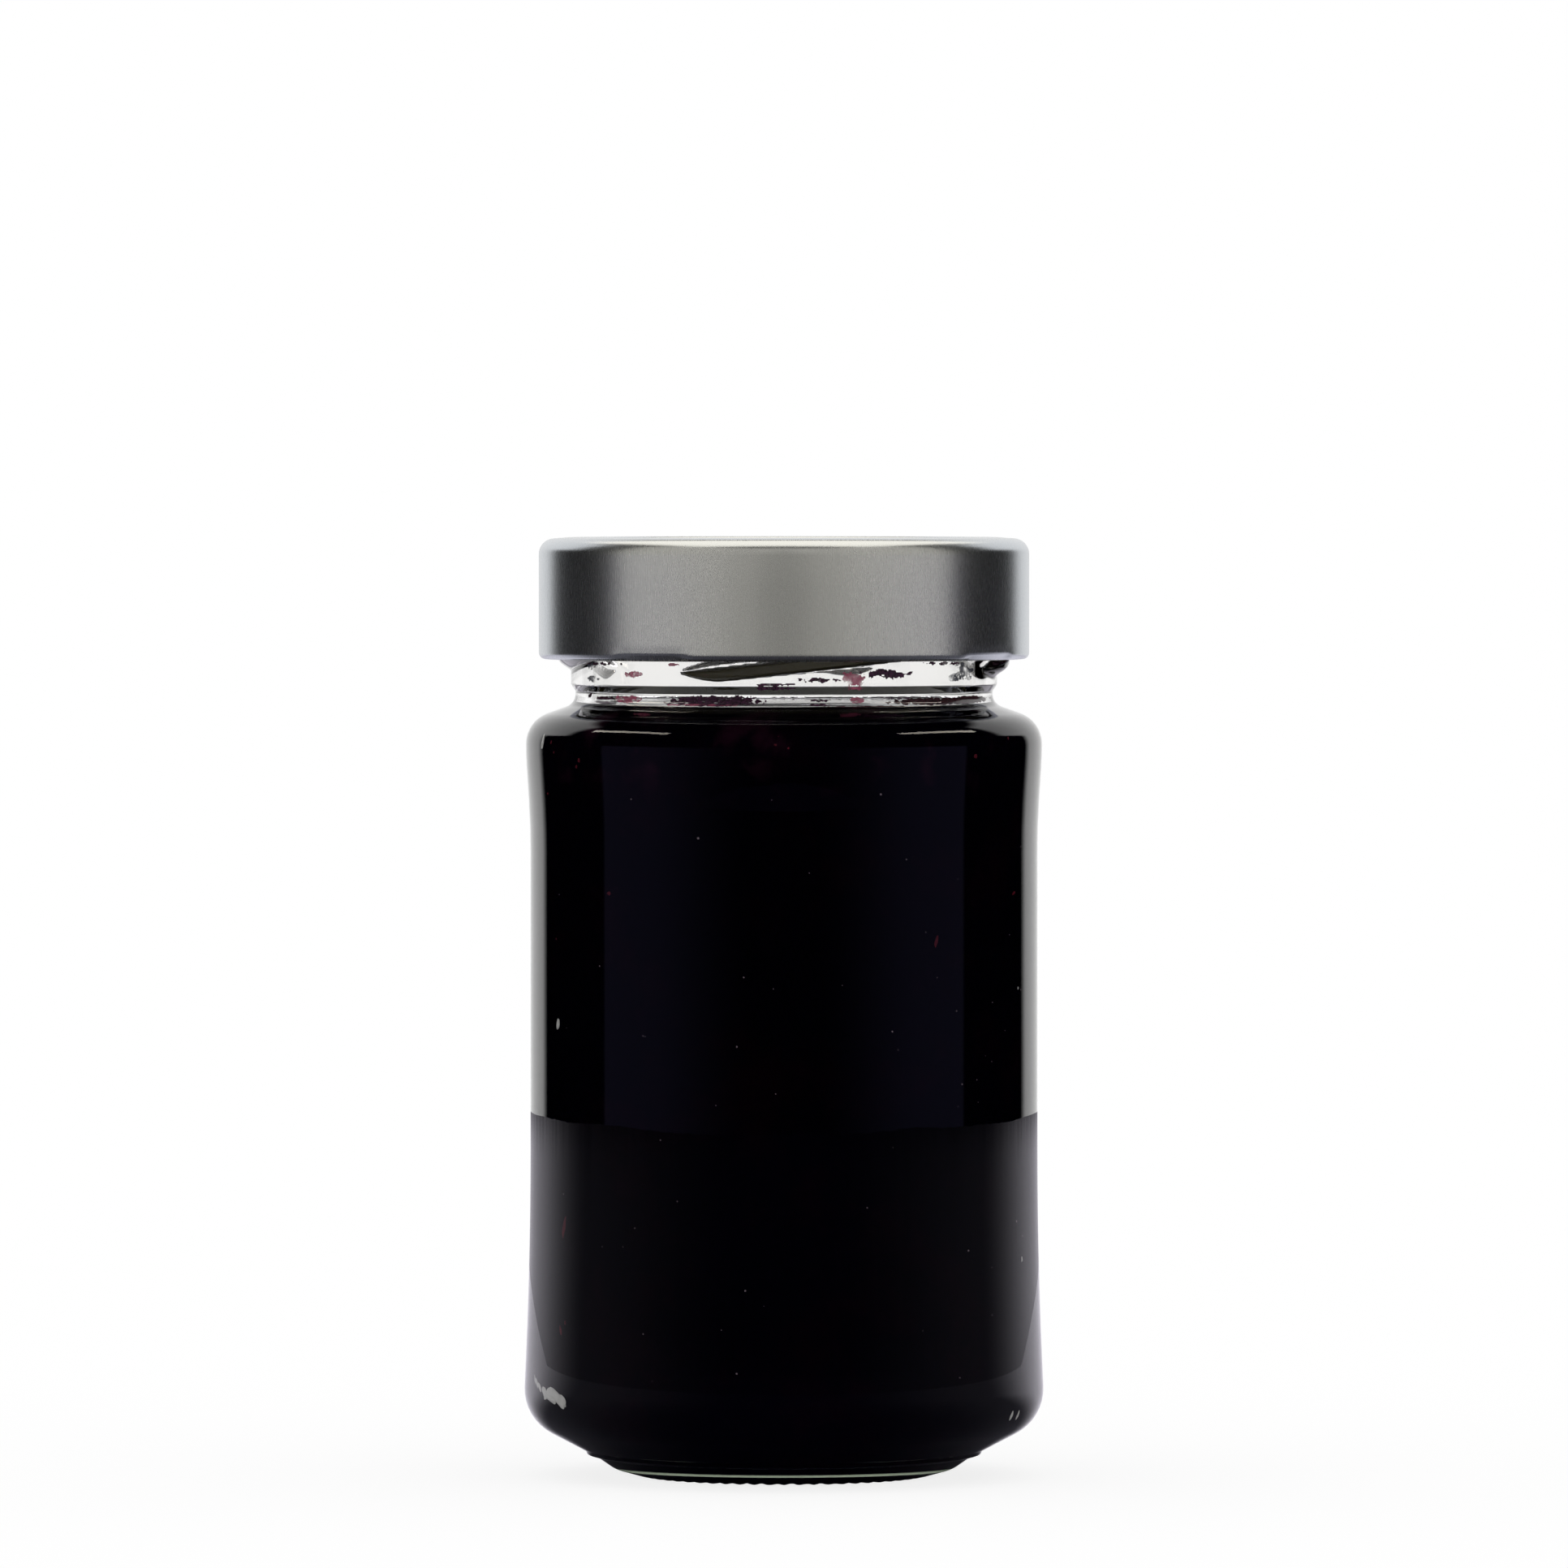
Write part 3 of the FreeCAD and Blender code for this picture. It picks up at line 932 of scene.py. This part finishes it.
class JAR_OT_flecks(bpy.types.Operator):
    """Scatters bits of fruit skin and pips where the spread meets the glass"""
    bl_idname = "jar.flecks"
    bl_label = "Skins and pips"

    # The bits that show most: angle in degrees, then height, width and length in mm
    SKINS = (
        (-55, 106.3, 0.5, 0.6), (-56, 105.4, 0.4, 0.5), (-2, 108.6, 0.45, 0.3), (1, 108.2, 0.3, 0.3),
        (50, 106.9, 0.7, 0.6), (64, 108.8, 0.4, 0.3), (-68, 108.4, 0.5, 0.4), (-66, 107.3, 0.35, 0.35),
        (-70, 101.3, 0.5, 0.4), (-62, 37.6, 0.7, 3.0), (-63, 22.4, 0.5, 1.4), (-61, 23.6, 0.4, 0.6),
        (67, 86.6, 1.0, 0.4), (38, 80.0, 0.5, 1.6), (-45, 86.9, 0.7, 0.5), (-66, 79.9, 0.3, 0.3),
    )
    PIPS = (
        (-20.3, 95.2, 0.28), (-11, 64.9, 0.22), (-9.4, 75, 0.2), (26, 67, 0.22), (46, 59, 0.2),
        (48, 34.6, 0.24), (-9, 29.4, 0.24), (-11, 17.3, 0.24), (68.5, 38.3, 0.24), (72, 36, 0.2),
        (23, 101.6, 0.24), (-38, 100.8, 0.2), (-77, 22.5, 0.24),
    )

    SCATTERED_SKINS = 150
    SCATTERED_PIPS = 90
    FILLED = (9, 110)  # heights in mm between which they lie
    CROWDED = 108  # the height where most skins lie
    THICK = 0.3 * MM

    def execute(self, context):
        _, _, spread = sizes()
        wall = inner_wall()
        picker = random.Random(11)
        skin = bit("skin", bit_finish("fruit skin", spread.skin_colour, 0.3, 0.4), 2.0)
        pip = bit("pip", bit_finish("pip", spread.pip_colour, 0.6, 0.4), 5.0)
        skins, pips = [skin], [pip]
        for around, height, wide, tall in self.SKINS:
            size = (wide * MM, 1.2 * self.THICK, tall * MM)
            lean = picker.uniform(-0.4, 0.4)
            skins.append(seated(skin, wall, math.radians(around), height * MM, size, 0.02 * MM, lean))
        for around, height, wide in self.PIPS:
            size = (wide * MM, self.THICK, wide * 1.2 * MM)
            lean = picker.uniform(-0.4, 0.4)
            pips.append(seated(pip, wall, math.radians(around), height * MM, size, 0.0, lean))
        for _ in range(self.SCATTERED_SKINS):
            size = (picker.uniform(0.25, 0.8) * MM, self.THICK, picker.uniform(0.2, 0.7) * MM)
            height = picker.triangular(*self.FILLED, self.CROWDED) * MM
            turn, spin = picker.uniform(0, TURN), picker.uniform(0, 3)
            skins.append(seated(skin, wall, turn, height, size, 0.08 * MM, spin))
        for _ in range(self.SCATTERED_PIPS):
            wide = picker.uniform(0.10, 0.2) * MM
            height = picker.uniform(*self.FILLED) * MM
            turn = picker.uniform(0, TURN)
            pips.append(seated(pip, wall, turn, height, (wide, self.THICK, wide), 0.02 * MM, 0))
        for made, name in ((skins, "fruit_skins"), (pips, "pips")):
            bpy.data.objects.remove(made.pop(0))
            joined(name, made)
        return {"FINISHED"}


class JAR_OT_air(bpy.types.Operator):
    """Sets the air bubbles and the small gap that the spread left at the glass"""
    bl_idname = "jar.air"
    bl_label = "Caught air"

    # Angle in degrees, height in mm, width and height in mm, lean in radians
    BUBBLES = (
        (-65, 67.4, 0.75, 1.35, 0.1), (66.5, 10.9, 0.55, 1.05, 0.12), (70, 10.9, 0.5, 1.0, 0.12),
        (71.5, 32.6, 0.4, 0.7, 0.0), (69.5, 72.6, 0.3, 0.4, 0.0), (-73, 108.2, 0.7, 1.3, 0.3),
        (-77.5, 14.6, 0.35, 1.2, -0.5), (-76, 14.2, 0.5, 1.5, -0.8), (-74, 13.7, 0.6, 1.6, -1.0),
        (-71, 13.2, 1.0, 1.6, -1.1), (-65, 12.9, 4.0, 1.2, 0.45), (-67.5, 12.9, 2.6, 1.4, 0.3),
        (-62, 12.5, 1.7, 1.0, 0.5), (-70.5, 12.5, 0.9, 0.5, 0.0), (118, 52, 0.7, 1.2, 0.1),
        (-131, 88, 0.5, 0.8, 0.0), (158, 24, 0.6, 1.0, 0.2), (-168, 60, 0.4, 0.7, 0.0),
    )
    THICK = 0.45 * MM

    def execute(self, context):
        _, _, spread = sizes()
        wall = inner_wall()
        # The bubbles' pale grey is a painted reflection
        bubble = bit("bubble", bit_finish("painted reflection of caught air", spread.air_reflection_colour, 0.75, 0.3), 9.0)
        made = []
        for around, height, wide, tall, lean in self.BUBBLES:
            size = (wide * MM, self.THICK, tall * MM)
            made.append(seated(bubble, wall, math.radians(around), height * MM, size, -0.02 * MM, lean))
        bpy.data.objects.remove(bubble)
        joined("caught_air", made)
        return {"FINISHED"}


class JAR_OT_glint(bpy.types.Operator):
    """Turns a thin pale green ring inside the foot, a painted line of light that stands in for the light the
    thick foot of the glass catches
    """
    bl_idname = "jar.glint"
    bl_label = "Line of light in the foot"

    MIDDLE = Vector((24.2 * MM, 2.38 * MM))  # radius and height of the line
    THICK = 0.31 * MM  # half its width
    SIDES = 8

    def execute(self, context):
        _, _, spread = sizes()
        turns = [TURN * i / self.SIDES for i in range(self.SIDES + 1)]
        ring = [self.MIDDLE + self.THICK * Vector((math.cos(a), math.sin(a))) for a in turns]
        piece = turned("foot_glint", ring, 240)
        smooth(piece)
        # The ring's pale green colour is painted light
        finish_piece(piece, bit_finish("light in the foot", spread.painted_glint_colour, 0.75, 0.4), "glass")
        return {"FINISHED"}


class JAR_OT_stage(bpy.types.Operator):
    """Lays the floor, hangs the soft boxes and sets the world and the camera"""
    bl_idname = "jar.stage"
    bl_label = "Stage"

    SKIRTING_RADIUS = 0.55
    SKIRTING_HEIGHT = 0.028
    FLOOR_GLOW = 0.82  # as the camera sees it
    SURROUNDINGS = (0.6, 0.6, 0.6)  # as they light whatever is not a mirror
    WHITE = (1.0, 1.0, 1.0)
    CARD = (0.053, 0.051, 0.095)
    LAMP_COLOUR = (1.07, 1.0, 0.87)
    LAMP_AIM = Vector((0, 0, 0.11))

    def mirrored_floor(self, shade, turn):
        """The floor's colour in the glass, by the angle round the jar, with light and shade painted in:
        bright behind it, dim in front.
        """
        light = shade.step(turn, 0.3, 1.6, 0.015, 0.18) + shade.step(turn, 1.7, 2.45, 0.0, 1.45)
        return shade.node("CombineColor", None, {0: light * 0.90, 1: light * 0.87, 2: light * 0.95 + 0.02})

    def skirting(self):
        """A low glowing band round the floor that only mirrored rays meet, a painted reflection of the paper
        where it curls up.
        """
        clear_selection()
        bpy.ops.mesh.primitive_cylinder_add(
            vertices=128, radius=self.SKIRTING_RADIUS, depth=self.SKIRTING_HEIGHT,
            end_fill_type="NOTHING", location=(0, 0, self.SKIRTING_HEIGHT / 2),
        )
        band = bpy.context.object
        band.name = "studio_skirting"
        material, shade = new_finish("curled paper glow")
        _, x, y, z = shade.place()
        tone = self.mirrored_floor(shade, abs(shade.turn(x, y)))
        uneven = shade.noise(shade.vector(x * 6, y * 6, 0.0), 9.0, 3.0) * 0.008
        strength = shade.step(z + uneven, 0.010, 0.026, 0.38, 0.0)
        glow = shade.node("Emission", None, {"Color": tone, "Strength": strength})
        shade.node("OutputMaterial", None, {"Surface": glow})
        band.data.materials.append(material)
        band.visible_camera = band.visible_diffuse = False
        band.visible_transmission = band.visible_shadow = False

    def floor(self, stage):
        """A floor that mirrored rays see in colours of its own, with painted light behind the jar and painted
        shade in front of it.
        """
        clear_selection()
        bpy.ops.mesh.primitive_circle_add(
            vertices=128, radius=stage.floor_radius, fill_type="NGON", location=(0, 0, 0)
        )
        floor = bpy.context.object
        floor.name = "studio_floor"
        material, shade = new_finish("pale floor")
        _, x, y, _ = shade.place()
        glossy, camera, through = shade.rays("Glossy", "Camera", "Transmission")
        mirrored = self.mirrored_floor(shade, abs(shade.turn(x, y)))
        tone = shade.mix(glossy, tuple(stage.floor_colour), mirrored)
        diffuse = shade.node("BsdfDiffuse", None, {"Color": tone})
        glow = shade.node("Emission", None, {"Strength": (camera + through) * self.FLOOR_GLOW})
        both = shade.node("AddShader", None, {0: diffuse, 1: glow})
        shade.node("OutputMaterial", None, {"Surface": both})
        floor.data.materials.append(material)

    def world(self):
        """White to the camera and through the glass. Mirrored rays meet a backdrop and dim side cards."""
        world = bpy.data.worlds.new("studio")
        bpy.context.scene.world = world
        world.use_nodes = True
        shade = Shade(world.node_tree)
        x, y, z = shade.parts(shade.node("TexCoord", out="Generated"))
        turn = abs(shade.turn(x, y))
        rise = shade.node("Math", {"operation": "ARCSINE"}, {0: z})
        # The backdrop is wider above, and its upper edge is lowest right behind the jar
        side = turn + shade.step(rise, 0.17, 0.34) * 0.36
        top = 0.70 - shade.step(turn, 2.80, 3.05) * 0.20
        backdrop = shade.step(side, 2.38, 2.52) * shade.step(rise - top, -0.05, 0.05, 1.0, 0.0)
        card = shade.step(turn, 0.25, 1.2) * shade.step(turn, 1.54, 1.58, 1.0, 0.0)
        card = card * shade.step(rise, 0.06, 0.10, 1.0, 0.0)
        levels = {i: backdrop + card * level for i, level in enumerate(self.CARD)}
        mirrored = shade.node("CombineColor", None, levels)
        camera, glossy, through = shade.rays("Camera", "Glossy", "Transmission")
        seen = shade.mix(through, shade.mix(glossy, self.SURROUNDINGS, mirrored), self.WHITE)
        tone = shade.mix(camera, seen, self.WHITE)
        background = shade.node("Background", None, {"Color": tone})
        shade.node("OutputWorld", None, {"Surface": background})

    def soft_box(self, name, piece, radiance, degrees, distance, height, width, tall, roll=0):
        """A soft box that shines on one piece only."""
        lamp = bpy.data.lights.new(name, "AREA")
        lamp.shape = "RECTANGLE"
        lamp.size = width
        lamp.size_y = tall
        lamp.energy = radiance * math.pi * width * tall
        lamp.color = self.LAMP_COLOUR
        holder = bpy.data.objects.new(name, lamp)
        bpy.context.scene.collection.objects.link(holder)
        a = math.radians(degrees)
        holder.location = (distance * math.sin(a), -distance * math.cos(a), height)
        aim = self.LAMP_AIM - holder.location
        turned_to = aim.to_track_quat("-Z", "Y") @ Quaternion((0, 0, 1), math.radians(roll))
        holder.rotation_euler = turned_to.to_euler()
        holder.visible_camera = False
        lit = bpy.data.collections.new(name)
        lit.objects.link(bpy.data.objects[piece])
        holder.light_linking.receiver_collection = lit
        holder.light_linking.blocker_collection = lit

    def camera(self, stage):
        camera = bpy.data.cameras.new("camera")
        camera.lens = stage.lens
        camera.sensor_width = 36
        holder = bpy.data.objects.new("camera", camera)
        bpy.context.scene.collection.objects.link(holder)
        holder.location = (0, -stage.camera_distance, stage.camera_height)
        aim = Vector((0, 0, stage.aim_height)) - holder.location
        holder.rotation_euler = aim.to_track_quat("-Z", "Y").to_euler()
        bpy.context.scene.camera = holder

    def execute(self, context):
        stage = context.scene.jar_stage
        self.floor(stage)
        self.skirting()
        self.world()
        # Radiance, degrees from the front, distance, height, then the box's width, height and roll
        lid, strip = stage.lid_box, stage.shoulder_strip
        for side, name in ((-1, "left"), (1, "right")):
            self.soft_box("lid_box_" + name, "pressed_lid", lid * 0.85, side * 47, 1.0, 0.25, 1.51, 2.1)
            self.soft_box("lid_fill_" + name, "pressed_lid", lid * 0.15, side * 56, 1.0, 0.25, 1.06, 2.1)
            strip_size = (0.84, 0.11, -15 * side)
            self.soft_box("shoulder_strip_" + name, "glass_jar", strip, side * 88, 0.95, 0.90, *strip_size)
        self.soft_box("lid_front_box", "pressed_lid", lid * 0.62, 0, 1.0, 0.25, 0.35, 2.1)
        self.soft_box("lid_low_box", "pressed_lid", lid * 0.9, 0, 0.6, -0.75, 1.6, 1.0)
        self.soft_box("lid_top_box", "pressed_lid", stage.lid_top_box, 180, 0.25, 1.3, 1.6, 1.6)
        context.scene.view_settings.view_transform = "Standard"
        self.camera(stage)
        return {"FINISHED"}


OPERATORS = (
    JAR_OT_glass, JAR_OT_lid, JAR_OT_spread, JAR_OT_smears,
    JAR_OT_flecks, JAR_OT_air, JAR_OT_glint, JAR_OT_stage,
)


class JAR_PT_panel(bpy.types.Panel):
    """Lists the pieces of the jar"""
    bl_idname = "JAR_PT_panel"
    bl_label = "Twist-off jar"
    bl_space_type = "VIEW_3D"
    bl_region_type = "UI"
    bl_category = "Jar"

    def draw(self, context):
        for operator in OPERATORS:
            self.layout.operator(operator.bl_idname)


GROUPS = {
    "jar_glass": JarGlassSizes, "jar_lid": JarLidSizes,
    "jar_spread": JarSpreadSizes, "jar_stage": JarStageSizes,
}
CLASSES = (*GROUPS.values(), *OPERATORS, JAR_PT_panel)


def register():
    for cls in CLASSES:
        bpy.utils.register_class(cls)
    for name, group in GROUPS.items():
        setattr(bpy.types.Scene, name, bpy.props.PointerProperty(type=group))


def unregister():
    for name in GROUPS:
        delattr(bpy.types.Scene, name)
    for cls in reversed(CLASSES):
        bpy.utils.unregister_class(cls)


def main():
    register()
    bpy.ops.jar.glass()
    bpy.ops.jar.lid()
    bpy.ops.jar.spread()
    bpy.ops.jar.smears()
    bpy.ops.jar.flecks()
    bpy.ops.jar.air()
    bpy.ops.jar.glint()
    bpy.ops.jar.stage()


if __name__ == "__main__":
    main()
